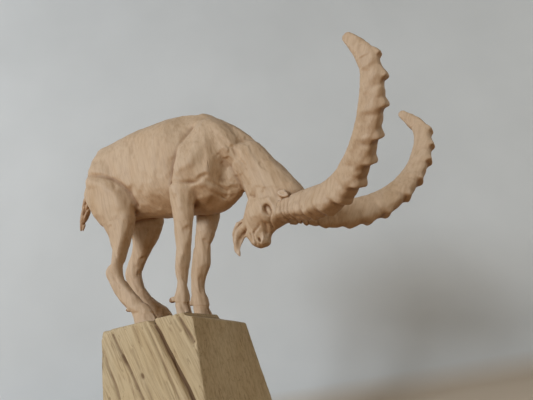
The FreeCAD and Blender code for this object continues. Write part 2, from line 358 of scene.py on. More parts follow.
def knife_facets(points, faces, size, stretch, tilt, depth, seed, strength=1.0):
    """Flattens the surface in patches of about size, as strokes of a knife leave it.

    stretch divides the distances along each axis, so that patches run along the grain. The
    cuts lean by about tilt degrees and lie up to depth deep.
    """
    rng = np.random.default_rng(seed)
    normals = vertex_normals(points, faces)
    stretch = np.asarray(stretch, float)
    flat = points / stretch
    order = rng.permutation(len(points))
    cells = np.floor((flat[order] + rng.normal(0, 0.15 * size, (len(order), 3))) / size).astype(int)
    _, first = np.unique(cells, axis=0, return_index=True)
    chosen = order[first]
    chosen = chosen[rng.random(len(chosen)) < CUTS_KEPT]
    tree = kdtree.KDTree(len(chosen))
    for k, v in enumerate(chosen):
        tree.insert(flat[v], k)
    tree.balance()
    tipped = normals[chosen] + rng.normal(0, math.radians(tilt), (len(chosen), 3))
    tipped /= np.linalg.norm(tipped, axis=1)[:, None]
    lift = rng.uniform(-depth, 0.25 * depth, len(chosen))
    nearest = np.array([tree.find(p)[1] for p in flat])
    n, s = tipped[nearest], points[chosen][nearest]
    move = np.einsum("ij,ij->i", n, s - points) + lift[nearest]
    agree = smoothstep(np.einsum("ij,ij->i", n, normals), 0.45, 0.8)
    move = np.clip(move, DEEPEST_CUT, HIGHEST_EDGE) * agree * strength
    return points + even_out(n * move[:, None], faces, EDGES_EVENED)


# ---- meshes


def make_object(name, points, faces, hollow):
    """A mesh object in metres, with how hollow each place is as an attribute, which the materials
    paint as shade.
    """
    mesh = bpy.data.meshes.new(name)
    mesh.from_pydata((points * MM).tolist(), [], faces)
    layer = mesh.attributes.new("hollow", "FLOAT", "POINT")
    layer.data.foreach_set("value", hollow.astype(np.float32))
    mesh.update()
    piece = bpy.data.objects.new(name, mesh)
    bpy.context.collection.objects.link(piece)
    return piece


@contextmanager
def editing(piece):
    """The piece's mesh, open for changes."""
    bm = bmesh.new()
    bm.from_mesh(piece.data)
    yield bm
    bm.to_mesh(piece.data)
    bm.free()


def cut_flat(piece, point, normal, only=None):
    """Cuts the piece off past a plane and closes the flat face. only picks the vertices
    that the cut may touch, from their places in millimetres."""
    point, normal = Vector(point) * MM, Vector(normal).normalized()

    def on_plane(edge):
        return all(abs((v.co - point).dot(normal)) < 1e-5 for v in edge.verts)

    with editing(piece) as bm:
        geometry = [v for v in bm.verts if only is None or only(*(v.co / MM))]
        near = set(geometry)
        geometry += [e for e in bm.edges if near.issuperset(e.verts)]
        geometry += [f for f in bm.faces if near.issuperset(f.verts)]
        bmesh.ops.bisect_plane(
            bm, geom=geometry, dist=1e-7, plane_co=point, plane_no=normal, clear_outer=True
        )
        rim = [e for e in bm.edges if e.is_boundary and on_plane(e)]
        if rim:
            bmesh.ops.triangle_fill(
                bm, edges=rim, use_beauty=True, use_dissolve=False, normal=normal
            )


def keep_piece_at(piece, point):
    """Leaves only the connected part of the mesh that comes nearest to a point."""
    goal = Vector(point) * MM
    with editing(piece) as bm:
        start = min(bm.verts, key=lambda v: (v.co - goal).length_squared)
        seen, todo = {start}, [start]
        while todo:
            for edge in todo.pop().link_edges:
                for v in edge.verts:
                    if v not in seen:
                        seen.add(v)
                        todo.append(v)
        bmesh.ops.delete(bm, geom=[v for v in bm.verts if v not in seen], context="VERTS")


def finish_piece(piece, node, material):
    """Shades the piece, gives it its material and puts it in the place of its CAD node."""
    with editing(piece) as bm:
        bmesh.ops.recalc_face_normals(bm, faces=bm.faces)
    piece.data.polygons.foreach_set("use_smooth", np.ones(len(piece.data.polygons), bool))
    piece.data.materials.append(material)
    piece.data.set_sharp_from_angle(angle=SHARP_ANGLE)
    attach(piece, "root")
    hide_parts(node)


def bore(clay, *names):
    """Bores the dowels' holes, a little wider than the dowels."""
    for name in names:
        clay.d = np.maximum(clay.d, -(clay.of_node(name) - DOWEL_GAP))


# ---- the animal


def shoulder_slope(side):
    """What is cut off above the shoulder blade: a slope that runs out before and behind it."""

    def distance(x, y, z):
        edge = 50 - 0.48 * (z - TREAD - 225) + 0.010 * (x - 76) ** 2
        return -0.9 * (y * side - edge)

    return at(34, -62, 205), at(118, 62, 300), distance


def shape_masses(clay):
    """The large forms, before they are softened together."""
    rump = beyond(at(-131, 0, 287), (-0.83, 0, 0.55), at(-160, -60, 262), at(-112, 60, 320))
    clay.join(blob(at(-113, 0, 295), (12, 15, 9)), 8)
    clay.carve(rump, 3)
    for side in SIDES:
        clay.carve(shoulder_slope(side), 7)
        clay.join(blob(at(-92, 24 * side, 256), (30, 13, 26)), 14)
        clay.join(blob(at(-128, 20 * side, 218), (20, 13, 13), aim=(-0.35, 0, 1)), 12)
        clay.join(blob(at(-88, 34 * side, 203), (46, 14, 27), aim=(-0.45, 0, 1)), 14)
        clay.join(blob(at(108, 20 * side, 238), (42, 17, 22), aim=(0.5, 0, -0.85)), 12)
        clay.join(blob(at(84, 27 * side, 165), (17, 12, 13)), 14)
        clay.join(blob(at(93, 34 * side, 194), (27, 12, 15), aim=(0.15, 0, -1)), 12)
        clay.join(blob(at(81, 39 * side, 186), (17, 10, 14), aim=(0, 0, 1)), 12)
        clay.carve(blob(at(118, 40 * side, 184), (22, 10, 11), aim=(0.3, 0, 1)), 9)
        clay.melt(at(100, 38 * side, 218), 46, 6.0)
    clay.join(blob(at(204, 0, 138), (18, 17, 10), aim=(0.8, 0, -0.6)), 8)
    # chin and lips
    clay.join(blob(at(138, 0, 80.5), (7.5, 10, 8)), 4)
    clay.join(blob(at(149, 0, 78), (9.5, 12, 8.5)), 4)


# Creases and muscles of the barrel, shoulders and thighs: a stroke's line, width, height
# and how far from the middle plane it starts
TRUNK_STROKES = [
    # crease before the thigh, the thigh's own edge, and the fold up from the flank
    ([(-118, 247), (-92, 236), (-67, 225), (-52, 211), (-43, 198), (-36, 178)], 4, -3.2, 10),
    ([(-112, 233), (-78, 214), (-62, 200), (-56, 178)], 9, 3.0, 10),
    ([(-36, 200), (-12, 172), (20, 160)], 7, -1.6, 12),
    # the shoulder blade's back edge, the hollow before it and the fold of the elbow
    ([(72, 268), (55, 240), (45, 213), (38, 186)], 5, -2.8, 12),
    ([(116, 226), (118, 208), (116, 190), (111, 176)], 7, -2.4, 8),
    ([(98, 250), (103, 226), (104, 204), (99, 184)], 5, 1.6, 12),
    ([(39, 186), (60, 178), (82, 175), (96, 181)], 2.8, -2.4, 12),
    ([(88, 256), (84, 226), (78, 200)], 10, 2.0, 12),
    ([(44, 176), (52, 160), (54, 146)], 5, 1.6, 14),
    # ribs, the hollow flank and the ridge along the back
    ([(-22, 270), (-34, 236), (-36, 206)], 15, -2.6, 10),
    ([(24, 262), (14, 228), (2, 190)], 13, 1.6, 12),
    ([(-20, 300), (30, 300), (70, 290)], 9, -1.6, 9),
    ([(8, 262), (-2, 228), (-14, 190)], 2.6, -0.8, 12),
    ([(34, 262), (24, 228), (12, 190)], 2.6, -0.8, 12),
    # folds of the neck and of the brisket
    ([(112, 246), (134, 214), (150, 178)], 3.5, -1.3, 10),
    ([(130, 256), (158, 214), (176, 176)], 5, -1.2, 10),
    ([(98, 172), (112, 160), (124, 162)], 2.5, -1.2, 5),
    ([(92, 160), (106, 150), (118, 153)], 2.2, -1.0, 5),
]


def sculpt_head(clay):
    """Eyes, brows, cheeks, nostrils, lips, ears and beard."""
    down_the_face = (0.25, 0, -0.97)
    for side in SIDES:
        # the eye's socket, the eyeball, the ear with its hollow, and the nostril
        clay.carve(blob(at(171, 26 * side, 112.5), (9.0, 6.4, 5.2), down_the_face), 3)
        clay.join(blob(at(171.4, 18.2 * side, 112), (6.6, 3.2, 3.4), down_the_face), 0.8)
        ear, along_ear = at(198, 26 * side, 127), (13, 4 * side, -9)
        clay.join(blob(ear, (10, 3.4, 4.6), along_ear), 2)
        clay.carve(blob(ear + (0, 3.4 * side, 0.8), (7.5, 2.0, 1.9), along_ear), 1)
        clay.carve(blob(at(147, 11 * side, 78), (4.2, 2.6, 1.5), down_the_face), 0.8)
    lid = []
    for k in range(13):
        c, s = math.cos(math.radians(30 * k)), math.sin(math.radians(30 * k))
        lid.append((171.2 + 3.8 * c + 1.9 * s, 112.5 + 1.0 * c - 7.4 * s))
    clay.stroke(lid, 1.1, -1.5)
    # brow, lower lid, tear line, cheek, a groove down the nose and the nostril's two rims
    clay.stroke([(176, 127), (181, 116), (180, 102)], 3.2, 2.4)
    clay.stroke([(164, 121), (162, 111), (164, 101)], 2.4, 1.2)
    clay.stroke([(172, 103), (169, 99), (167.5, 90)], 1.5, -1.6)
    clay.stroke([(152, 122), (148, 112)], 12, 2.0, inner=6)
    clay.stroke([(161, 96), (157.5, 87)], 3.0, -2.0)
    clay.stroke([(153, 86), (152.5, 79), (149, 73)], 1.5, 1.3)
    clay.stroke([(143, 86), (142.5, 80), (144, 74)], 1.3, 1.0)
    # lips: a rounded rim between two lines, and the corner of the mouth
    clay.stroke([(139.5, 91), (138.8, 83), (138.6, 75)], 1.3, 1.5)
    clay.stroke([(136.2, 90), (135.6, 80)], 1.2, -1.3)
    clay.stroke([(141.4, 90), (141, 80), (141.6, 74)], 1.1, -1.2)
    clay.stroke([(141, 90), (147, 93), (153, 97)], 1.5, -1.3)
    # folds that run up from the throat to the ear
    clay.stroke([(146, 143), (160, 132), (176, 130)], 2.4, -1.0)
    clay.stroke([(138, 124), (150, 134), (160, 148)], 3.0, -0.8)
    sculpt_beard(clay)


# The beard's middle line from the throat to its hooked tip: x, height, half depth
BEARD = [(124, 108, 10.5), (113, 99, 9.6), (107, 89, 7.6), (105, 79, 5.4), (108, 66.5, 1.4)]


def sculpt_beard(clay):
    """A flat hooked lock that curls under the chin, with two grooves along it."""
    for (ax, ah, ar), (bx, bh, br) in zip(BEARD[:-1], BEARD[1:]):
        clay.join(rod(at(ax, 0, ah), at(bx, 0, bh), ar, br, 0.72), 2.5)
    hook = [(121, 111), (109, 104.5), (103.5, 95), (102.4, 85), (105.4, 73)]
    clay.stroke(hook, 1.5, -2.8, inner=-1)
    clay.stroke([(128, 98), (118, 93), (112, 86), (109.6, 76)], 3.0, -4.0, inner=-1)


# A leg's marks: its heel, toe and dewclaws along the ground; its knee or hock; the line
# between bone and tendon; and the front edge of the shank: x and height
LegMarks = namedtuple("LegMarks", "heel toe claws bend tendon shank", defaults=[None])
LEG_MARKS = {
    "front_right_leg": LegMarks(13, 39, 14, (40, 73), [(30, 106), (30, 84), (28, 62), (25, 38)]),
    "front_left_leg": LegMarks(4, 35, 2, (25, 82), [(24, 112), (17, 90), (13, 66), (10, 42)]),
    "hind_right_leg": LegMarks(
        -57, -18, -62.5, (-95, 87),
        tendon=[(-98, 158), (-86, 128), (-84, 104), (-86, 84), (-72, 56)],
        shank=[(-48, 160), (-62, 124), (-74, 94), (-68, 66), (-52, 42)],
    ),
    "hind_left_leg": LegMarks(
        -66, -31, -73, (-111, 92),
        tendon=[(-102, 160), (-94, 134), (-99, 112), (-101, 92), (-88, 60)],
    ),
}
HOOF_Y = 31.0  # how far the hooves' middles are from the middle plane


def dewclaws(leg):
    """The middles of a leg's two dewclaws."""
    return [at(LEG_MARKS[leg].claws, HOOF_Y * side_of(leg) + off, 21) for off in (-6.0, 6.0)]


def sculpt_leg(clay, leg):
    """Knee or hock, tendon, dewclaws, coronet and the cleft between the toes."""
    heel, toe, _, bend, tendon, shank = LEG_MARKS[leg]
    side = side_of(leg)
    inner = 14
    if shank:
        clay.stroke(shank, 8, 3.0, inner, side)
    clay.stroke(tendon, 2.2, -1.3, inner, side)
    joint = [(bend[0] - 3, bend[1] + 7), bend, (bend[0] - 2, bend[1] - 8)]
    clay.stroke(joint, 5, 1.4, inner, side)
    clay.stroke([(heel, 17), (heel + 12, 15), (toe - 3, 12)], 1.8, -1.0, inner, side)
    clay.stroke([(heel - 2, 27), (heel + 10, 25), (toe - 8, 27)], 5, 1.0, inner, side)
    for claw in dewclaws(leg):
        clay.join(blob(claw, (5.6, 4.2, 4.8), aim=(-1, 0, -0.5)), 1.2)
        clay.carve(blob(claw + (1.5, 0, -5.0), (4.0, 4.6, 2.2), aim=(-1, 0, -0.3)), 1.0)
    clay.carve(blob(at(heel - 9, HOOF_Y * side, 6), (13, 22, 15)), 3)
    clay.carve(blob(at(toe, HOOF_Y * side, 4), (9, 1.6, 13), aim=(1, 0, 0.5)), 1.5)


def painted_claw_shade(points):
    """Marks painted shade on the backs of the dewclaws, as dark as a hollow's, and none elsewhere.
    """
    mark = np.zeros(len(points))
    for leg in LEGS:
        for claw in dewclaws(leg):
            far = np.linalg.norm(points - (claw + (-2.0, 0, -0.5)), axis=1)
            mark = np.maximum(mark, 0.66 * (1 - smoothstep(far, 4.8, 6.4)))
    return mark


def animal_clay(low, high, voxel):
    """The animal's part inside a box, as one body with its sculpted forms."""
    clay = Clay(low, high, voxel)
    for name in ["torso", "head_and_neck"] + LEGS:
        clay.d = smooth_min(clay.d, clay.of_node(name), JOINT_BLEND)
    clay.sink(TREAD + 2)
    shape_masses(clay)
    clay.soften(MASS_SOFTNESS)
    for stroke in TRUNK_STROKES:
        clay.stroke(*stroke)
    sculpt_head(clay)
    for leg in LEGS:
        sculpt_leg(clay, leg)
    clay.soften(CUT_SOFTNESS)
    return clay


def facet_strength(points):
    """Knife facets fade out at the glued joints, and are finer cuts on the face."""
    x, h = points[:, 0], points[:, 2] - TREAD
    leg_joint = np.where(x < HIND_LEG_JOINT_TO_X, HIND_LEG_JOINT, FRONT_LEG_JOINT)
    to_joint = np.minimum(np.abs(x - NECK_JOINT_X), np.abs(h - leg_joint))
    on_face = smoothstep(x, 112, 128) * (1 - smoothstep(h, 125, 145))
    return smoothstep(to_joint, 0, 7) * (1 - 0.6 * on_face)


def animal_piece(name, clay, facet, seed, stretch, reach, tilt=2.5):
    """The clay's surface as a piece, cut into knife facets. Creases get painted shade, spread over
    about reach millimetres."""
    points, faces = clay.mesh()
    # painted shade: creases, and the backs of the dewclaws
    hollow = np.maximum(clay.hollowness(points, reach), painted_claw_shade(points))
    points = knife_facets(points, faces, facet, stretch, tilt, 0.35, seed, facet_strength(points))
    return make_object(name, points, faces.tolist(), hollow)


# ---- horns

# The left horn's middle line: x, y, height above the hooves, half depth
HORN = [
    (186, 13, 110, 14.5),
    (208, 20, 107, 17.0),
    (238, 33, 101, 20.0),
    (267, 48, 98, 19.5),
    (295.5, 66, 104.5, 17.6),
    (321, 86, 121, 15.9),
    (341.5, 104, 143.5, 14.6),
    (356, 117, 168.5, 14.0),
    (364.5, 125, 195, 12.7),
    (364, 130, 214, 11.5),
    (357, 131, 232, 9.0),
    (345, 131, 252, 4.5),
]
HORN_SPLAY = unit((0.30, 1.0, 0.0))  # about which way a horn's side faces, before HORN_TURN
HORN_REACH = {-1: 1.0, 1: 1.06}  # the left horn curves a little wider
HORN_TIP_CURL = {-1: 0.0, 1: 4.0}  # and its tip turns further back
HORN_TURN = math.radians(16)  # how far the knobbed face is turned outward
HORN_WIDTH_SHARE = 0.80  # the horn's thickness across its curve, as a share of its depth
HORN_SQUARENESS = 3.2  # 2 would make its section round
HORN_STATIONS, HORN_ROUND = ((420, 92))
RING_SLANT = 0.024  # how much nearer the root a ring lies on the inner curve
# Places along the horns are shares of a horn's length
KNOBS = {
    -1: (0.18, 0.26, 0.34, 0.424, 0.515, 0.603, 0.705, 0.796, 0.861),
    1: (0.073, 0.152, 0.24, 0.312, 0.387, 0.50, 0.595, 0.698, 0.773, 0.84),
}
KNOB_HEIGHT, FULL_HEIGHT_FROM = 5.0, 0.42
KNOB_SHARE = {-1: 1.0, 1: 0.72}  # how high each horn's knobs stand
KNOB_ROOTWARD, KNOB_TIPWARD = 0.0085, 0.019  # how far a knob reaches to either side
# Rings cut round the root: place and depth
ROOT_RINGS = ((0.022, 2.2), (0.041, 2.4), (0.069, 2.0), (0.11, 0.9), (0.15, 0.8), (0.19, 0.7))


def catmull(values, t):
    """A smooth curve through rows of values, at t from 0 to 1."""
    values = np.asarray(values, float)
    place = np.clip(t, 0, 1) * (len(values) - 1)
    k = np.minimum(place.astype(int), len(values) - 2)
    u = (place - k)[:, None]
    p0, p1, p2, p3 = (values[np.clip(k + o, 0, len(values) - 1)] for o in (-1, 0, 1, 2))
    square = (2 * p0 - 5 * p1 + 4 * p2 - p3) * u**2
    cube = (3 * p1 - p0 - 3 * p2 + p3) * u**3
    return 0.5 * (2 * p1 + (p2 - p0) * u + square + cube)


def bell(offset, width):
    return np.exp(-((offset / width) ** 2))


def horn_relief(side, share, c, depth):
    """How far knobs and growth rings stand out of the horn: stations by points round it.
    Knobs fall steeply towards the root and gently towards the tip.

    share is how far along the horn each station is, and c the cosine of the angle from the
    outer curve.
    """
    along = share[:, None] + RING_SLANT * (1 - c[None, :]) / 2
    size = (0.6 + 0.4 * depth / depth.max())[:, None]
    front = smoothstep(c, 0.66, 0.95)[None, :]
    flank = smoothstep(c, -0.75, 0.35)[None, :]
    relief = np.zeros(along.shape)
    for place in KNOBS[side]:
        height = KNOB_HEIGHT * min(place / FULL_HEIGHT_FROM, 1) ** 1.6 * KNOB_SHARE[side]
        off = (along - place) / np.where(along < place, KNOB_ROOTWARD, KNOB_TIPWARD)
        relief += height * size * front * np.exp(-np.abs(off) ** 2.4)
        # each knob runs on round the flank as a low ring, with a hollow before it
        relief += 0.6 * size * flank * bell(along - place, 0.014)
        relief -= 1.1 * size * flank * bell(along - place + 0.026, 0.013)
    for place, cut in ROOT_RINGS:
        relief -= cut * bell(along - place - 0.012, 0.0065) * (0.6 + 0.4 * flank)
    return relief


def horn_line(side):
    """The stations along a left horn: their places, half depths and directions, how far along
    they are and how far from the tip."""
    t = np.linspace(0.012, 0.992, HORN_STATIONS)
    row = catmull(HORN, t)
    centre, depth = row[:, :3], row[:, 3]
    centre = centre[0] + (centre - centre[0]) * HORN_REACH[side] + (0, 0, TREAD)
    curl = smoothstep(t, 0.80, 1.0)
    centre = centre - HORN_TIP_CURL[side] * curl[:, None] * np.array([1.0, 0, 0.35])
    along = np.gradient(centre, axis=0)
    step = np.linalg.norm(along, axis=1)
    along /= step[:, None]
    length = np.concatenate([[0], np.cumsum((step[1:] + step[:-1]) / 2)])
    left = length[-1] - length
    # the last 5 mm are rounded off
    depth = depth * np.sqrt(np.clip(1 - (1 - np.minimum(left, 5) / 5) ** 2, 0.002, 1))
    return centre, depth, along, length / length[-1], left


def horn_piece(side, name):
    """A horn with its knobs, from its root inside the head to its blunt tip."""
    centre, depth, along, share, left = horn_line(side)
    out = np.cross(HORN_SPLAY, along)
    out /= np.linalg.norm(out, axis=1)[:, None]
    across = np.cross(along, out)
    cos_turn, sin_turn = math.cos(HORN_TURN), math.sin(HORN_TURN)
    out, across = out * cos_turn + across * sin_turn, across * cos_turn - out * sin_turn
    angle = np.linspace(0, 2 * math.pi, HORN_ROUND, endpoint=False)
    c, s = np.cos(angle), np.sin(angle)
    # a rounded oblong, a little broader across the knobbed outer face
    power = HORN_SQUARENESS
    square = (np.abs(c) ** power + np.abs(s) ** power) ** (-1 / power)
    width = HORN_WIDTH_SHARE * (1 + 0.12 * c)
    relief = horn_relief(side, share, c, depth) * np.minimum(left / 12, 1)[:, None]
    reach = depth[:, None] + relief
    points = (
        centre[:, None, :]
        + out[:, None, :] * (reach * (square * c)[None, :])[:, :, None]
        + across[:, None, :] * (reach * (square * s * width)[None, :])[:, :, None]
    )
    n, m = points.shape[:2]
    points = points.reshape(-1, 3)
    i, j = np.meshgrid(np.arange(n - 1), np.arange(m), indexing="ij")
    a, b = i * m + j, i * m + (j + 1) % m
    faces = np.stack([a, b, b + m, a + m], axis=-1).reshape(-1, 4)
    points = knife_facets(points, faces, 9.0, (1, 1, 1), 3.0, 0.25, 34 + 3 * side)
    # a point in the middle of each end closes the horn
    points = np.vstack([points, centre[0], centre[-1]]) * (1, side, 1)
    root, tip, last = n * m, n * m + 1, (n - 1) * m
    root_cap = [(root, (k + 1) % m, k) for k in range(m)]
    tip_cap = [(tip, last + k, last + (k + 1) % m) for k in range(m)]
    # painted shade where the relief sinks below its neighbours, before the knobs and in the rings,
    # and paler paint on the knobs
    blurred = sum(np.roll(relief, shift, axis=0) for shift in range(-8, 9)) / 17
    hollow = np.append(0.5 + 0.07 * np.clip(blurred - relief, -1.5, 3), (0.5, 0.5))
    return make_object(name, points, faces.tolist() + root_cap + tip_cap, hollow)


# ---- materials


class Nodes:
    """A short way to build a material's nodes."""

    def __init__(self, name):
        self.material = bpy.data.materials.new(name)
        self.material.use_nodes = True
        self.tree = self.material.node_tree
        self.shader = self.tree.nodes["Principled BSDF"]
        self.place = self.new("ShaderNodeTexCoord").outputs["Object"]

    def new(self, kind, inputs=None, **settings):
        node = self.tree.nodes.new(kind)
        for key, value in settings.items():
            setattr(node, key, value)
        for key, value in (inputs or {}).items():
            self.put(node.inputs[key], value)
        return node

    def put(self, socket, value):
        """Gives a socket a value, or a link where the value is another node's output."""
        if isinstance(value, bpy.types.NodeSocket):
            self.tree.links.new(value, socket)
        else:
            socket.default_value = value

    def paint(self, colour, roughness, normal=None):
        self.put(self.shader.inputs["Base Color"], colour)
        self.put(self.shader.inputs["Roughness"], roughness)
        if normal is not None:
            self.put(self.shader.inputs["Normal"], normal)

    def grain(self, turn, length):
        """The object's coordinates with X along the grain after turn, drawn out by length."""
        angles = [math.radians(v) for v in turn]
        inputs = {"Vector": self.place, "Rotation": angles, "Scale": (length, 1, 1)}
        return self.new("ShaderNodeMapping", inputs, vector_type="TEXTURE").outputs["Vector"]

    def noise(self, vector, scale, detail=4.0, rough=0.55, distortion=0.0):
        inputs = {"Vector": vector, "Scale": scale, "Detail": detail}
        inputs |= {"Roughness": rough, "Distortion": distortion}
        return self.new("ShaderNodeTexNoise", inputs).outputs["Fac"]

    def ramp(self, value, stops):
        node = self.new("ShaderNodeValToRGB", {"Fac": value})
        ramp = node.color_ramp
        while len(ramp.elements) < len(stops):
            ramp.elements.new(0.5)
        for element, (place, colour) in zip(ramp.elements, stops):
            element.position = place
            element.color = (*colour, 1)
        return node.outputs["Color"]

    def mix(self, kind, factor, a, b):
        node = self.new("ShaderNodeMix", data_type="RGBA", blend_type=kind)
        self.put(node.inputs[0], factor)
        for socket, colour in ((node.inputs[6], a), (node.inputs[7], b)):
            self.put(socket, (*colour, 1) if isinstance(colour, tuple) else colour)
        return node.outputs[2]

    def math(self, kind, a, b=0.0):
        return self.new("ShaderNodeMath", {0: a, 1: b}, operation=kind).outputs[0]

    def spread(self, value, low, high, to_low, to_high):
        """A value's range from low to high, carried over to another."""
        ends = {"From Min": low, "From Max": high, "To Min": to_low, "To Max": to_high}
        return self.new("ShaderNodeMapRange", {"Value": value, **ends}).outputs["Result"]

    def height_of(self, vector):
        return self.new("ShaderNodeSeparateXYZ", {"Vector": vector}).outputs["Z"]

    def geometry(self, output):
        return self.new("ShaderNodeNewGeometry").outputs[output]

    def hollow(self):
        return self.new("ShaderNodeAttribute", attribute_name="hollow").outputs["Fac"]

    def bump(self, height, distance, strength, below=None):
        inputs = {"Height": height, "Distance": distance, "Strength": strength}
        if below is not None:
            inputs["Normal"] = below
        return self.new("ShaderNodeBump", inputs).outputs["Normal"]


WHITE = (1.0, 1.0, 1.0)


def carved_wood(name, turn, pale=(0.60, 0.435, 0.285), warm=(0.50, 0.325, 0.18)):
    """Bare knife-cut pale wood, its grain along local X after turn."""
    m = Nodes(name)
    streak = m.noise(m.grain(turn, 11), 300.0, 5.0, 0.6, 0.3)
    bands = m.noise(m.grain(turn, 9), 55.0, 3.0, 0.5, 0.6)
    patch = m.noise(m.place, 13.0, 3.0, 0.5)
    middle = tuple((a + b) / 2 for a, b in zip(pale, warm))
    colour = m.ramp(bands, [(0.30, warm), (0.50, middle), (0.70, pale)])
    colour = m.mix("MIX", m.spread(patch, 0.35, 0.65, 0.10, 0.80), colour, pale)
    fibres = m.ramp(streak, [(0.36, (0.78, 0.72, 0.66)), (0.56, WHITE)])
    colour = m.mix("MULTIPLY", 0.6, colour, fibres)
    # painted shade darkens the creases, and the edges are painted paler
    hollow = m.hollow()
    colour = m.mix("MIX", m.spread(hollow, 0.52, 0.68, 0.0, 0.85), colour, (0.20, 0.085, 0.028))
    colour = m.mix("MIX", m.spread(hollow, 0.46, 0.28, 0.0, 0.40), colour, (0.70, 0.545, 0.41))
    # undersides are tinted browner, as the photograph's warm dark shade has them
    under = m.spread(m.height_of(m.geometry("Normal")), -0.15, -0.85, 0.0, 0.75)
    colour = m.mix("MULTIPLY", under, colour, (0.66, 0.45, 0.25))
    tool = m.noise(m.grain(turn, 2.5), 420.0, 3.0)
    normal = m.bump(tool, 0.0003, 0.40, m.bump(streak, 0.0004, 0.55))
    m.paint(colour, m.spread(streak, 0.3, 0.7, 0.52, 0.74), normal)
    m.shader.inputs["Specular IOR Level"].default_value = 0.3
    return m.material


def split_wood(name):
    """The block: coarse split wood, yellower, with brown checks along a leaning grain."""
    m = Nodes(name)
    fine = m.noise(m.grain(BLOCK_GRAIN, 16), 330.0, 6.0, 0.65, 0.2)
    wide = m.noise(m.grain(BLOCK_GRAIN, 14), 70.0, 4.0, 0.6, 0.5)
    patch = m.noise(m.place, 9.0, 3.0, 0.5)
    brown, middle, tan = (0.53, 0.385, 0.21), (0.57, 0.425, 0.24), (0.60, 0.455, 0.265)
    colour = m.ramp(wide, [(0.30, brown), (0.44, middle), (0.62, tan)])
    colour = m.mix("MIX", m.spread(patch, 0.35, 0.65, 0.0, 0.55), colour, (0.62, 0.50, 0.32))
    fibres = m.ramp(fine, [(0.36, (0.62, 0.54, 0.45)), (0.56, WHITE)])
    colour = m.mix("MULTIPLY", 0.6, colour, fibres)
    # thin brown checks, where a noise drawn out along the grain passes its middle value
    checks = m.noise(m.grain(BLOCK_GRAIN, 18), 110.0, 2.0, 0.5)
    beside = m.math("ABSOLUTE", m.math("SUBTRACT", checks, 0.5))
    colour = m.mix("MIX", m.spread(beside, 0.003, 0.012, 0.40, 0.0), colour, (0.20, 0.11, 0.045))
    # painted shade in the splits and other hollows of the block
    painted_split_shade = m.spread(m.hollow(), 0.52, 0.66, 0.0, 0.90)
    colour = m.mix("MIX", painted_split_shade, colour, (0.13, 0.062, 0.024))
    normal = m.bump(wide, 0.0004, 0.3, m.bump(fine, 0.0012, 0.8))
    m.paint(colour, m.spread(fine, 0.3, 0.7, 0.62, 0.85), normal)
    m.shader.inputs["Specular IOR Level"].default_value = 0.3
    return m.material


# Which way each grain runs: turns that bring X along it, in degrees
BLOCK_GRAIN = (0, 67, 0)
WOOD_BODY = carved_wood("Carved wood, body", (0, 84, 0))
WOOD_HEAD = carved_wood("Carved wood, head", (0, 76, 0))
WOOD_LEG = carved_wood("Carved wood, leg", (0, 86, 0))
WOOD_HORN = carved_wood(
    "Carved wood, horn", (0, -62, 20), (0.59, 0.425, 0.28), (0.48, 0.315, 0.175)
)
WOOD_TAIL = carved_wood("Carved wood, tail", (0, 70, 0), (0.50, 0.31, 0.17), (0.34, 0.185, 0.09))
WOOD_BLOCK = split_wood("Split block")
WOOD_DOWEL = carved_wood("Turned dowel", (0, 90, 0), (0.66, 0.52, 0.34), (0.56, 0.41, 0.25))


# ---- build


def build_torso():
    clay = animal_clay(at(-160, -66, 116), at(NECK_JOINT_X + 8, 66, 316), TORSO_VOXEL)
    bore(clay, *[n for n in DOWELS if "hoof" not in n and "horn" not in n])
    piece = animal_piece("Torso", clay, facet=13.0, seed=11, stretch=(0.8, 0.8, 2.2), reach=7.0)
    cut_flat(piece, (NECK_JOINT_X, 0, 0), (1, 0, 0))
    hind = lambda x, y, z: x < HIND_LEG_JOINT_TO_X
    cut_flat(piece, at(0, 0, HIND_LEG_JOINT), (0, 0, -1), only=hind)
    cut_flat(piece, at(0, 0, FRONT_LEG_JOINT), (0, 0, -1))
    keep_piece_at(piece, at(0, 0, 300))
    finish_piece(piece, "torso", WOOD_BODY)


def build_head(horns):
    clay = animal_clay(at(NECK_JOINT_X - 8, -42, 60), at(222, 42, 292), HEAD_VOXEL)
    for horn in horns:
        clay.d = np.maximum(clay.d, -(clay.of_piece(horn) - HORN_GAP))
    bore(clay, *[n for n in DOWELS if "neck" in n or "horn" in n])
    stretch = (1.0, 1.0, 1.6)
    piece = animal_piece("Head_and_neck", clay, facet=8.5, seed=12, stretch=stretch, reach=4.0)
    cut_flat(piece, (NECK_JOINT_X, 0, 0), (-1, 0, 0))
    keep_piece_at(piece, at(200, 0, 130))
    finish_piece(piece, "head_and_neck", WOOD_HEAD)


def build_leg(node, seed):
    side = side_of(node)
    joint = FRONT_LEG_JOINT if "front" in node else HIND_LEG_JOINT
    box_low, box_high = box_mm(node)
    low = (box_low[0] - 10, min(2 * side, 60 * side), TREAD - 4)
    high = (box_high[0] + 6, max(2 * side, 60 * side), box_high[2] + 9)
    clay = animal_clay(low, high, LEG_VOXEL)
    clay.d = np.maximum(clay.d, TREAD - 0.3 - clay.z)
    bore(clay, *[n for n in DOWELS if n.startswith(node[: -len("leg")])])
    name, stretch = node.capitalize(), (1.0, 1.0, 3.2)
    piece = animal_piece(name, clay, facet=10.0, seed=seed, stretch=stretch, reach=4.0, tilt=3.0)
    cut_flat(piece, at(0, 0, joint), (0, 0, 1))
    cut_flat(piece, (0, 0, TREAD - 0.2), (0, 0, -1))
    marks = LEG_MARKS[node]
    keep_piece_at(piece, at((marks.heel + marks.toe) / 2, HOOF_Y * side, 0))
    finish_piece(piece, node, WOOD_LEG)


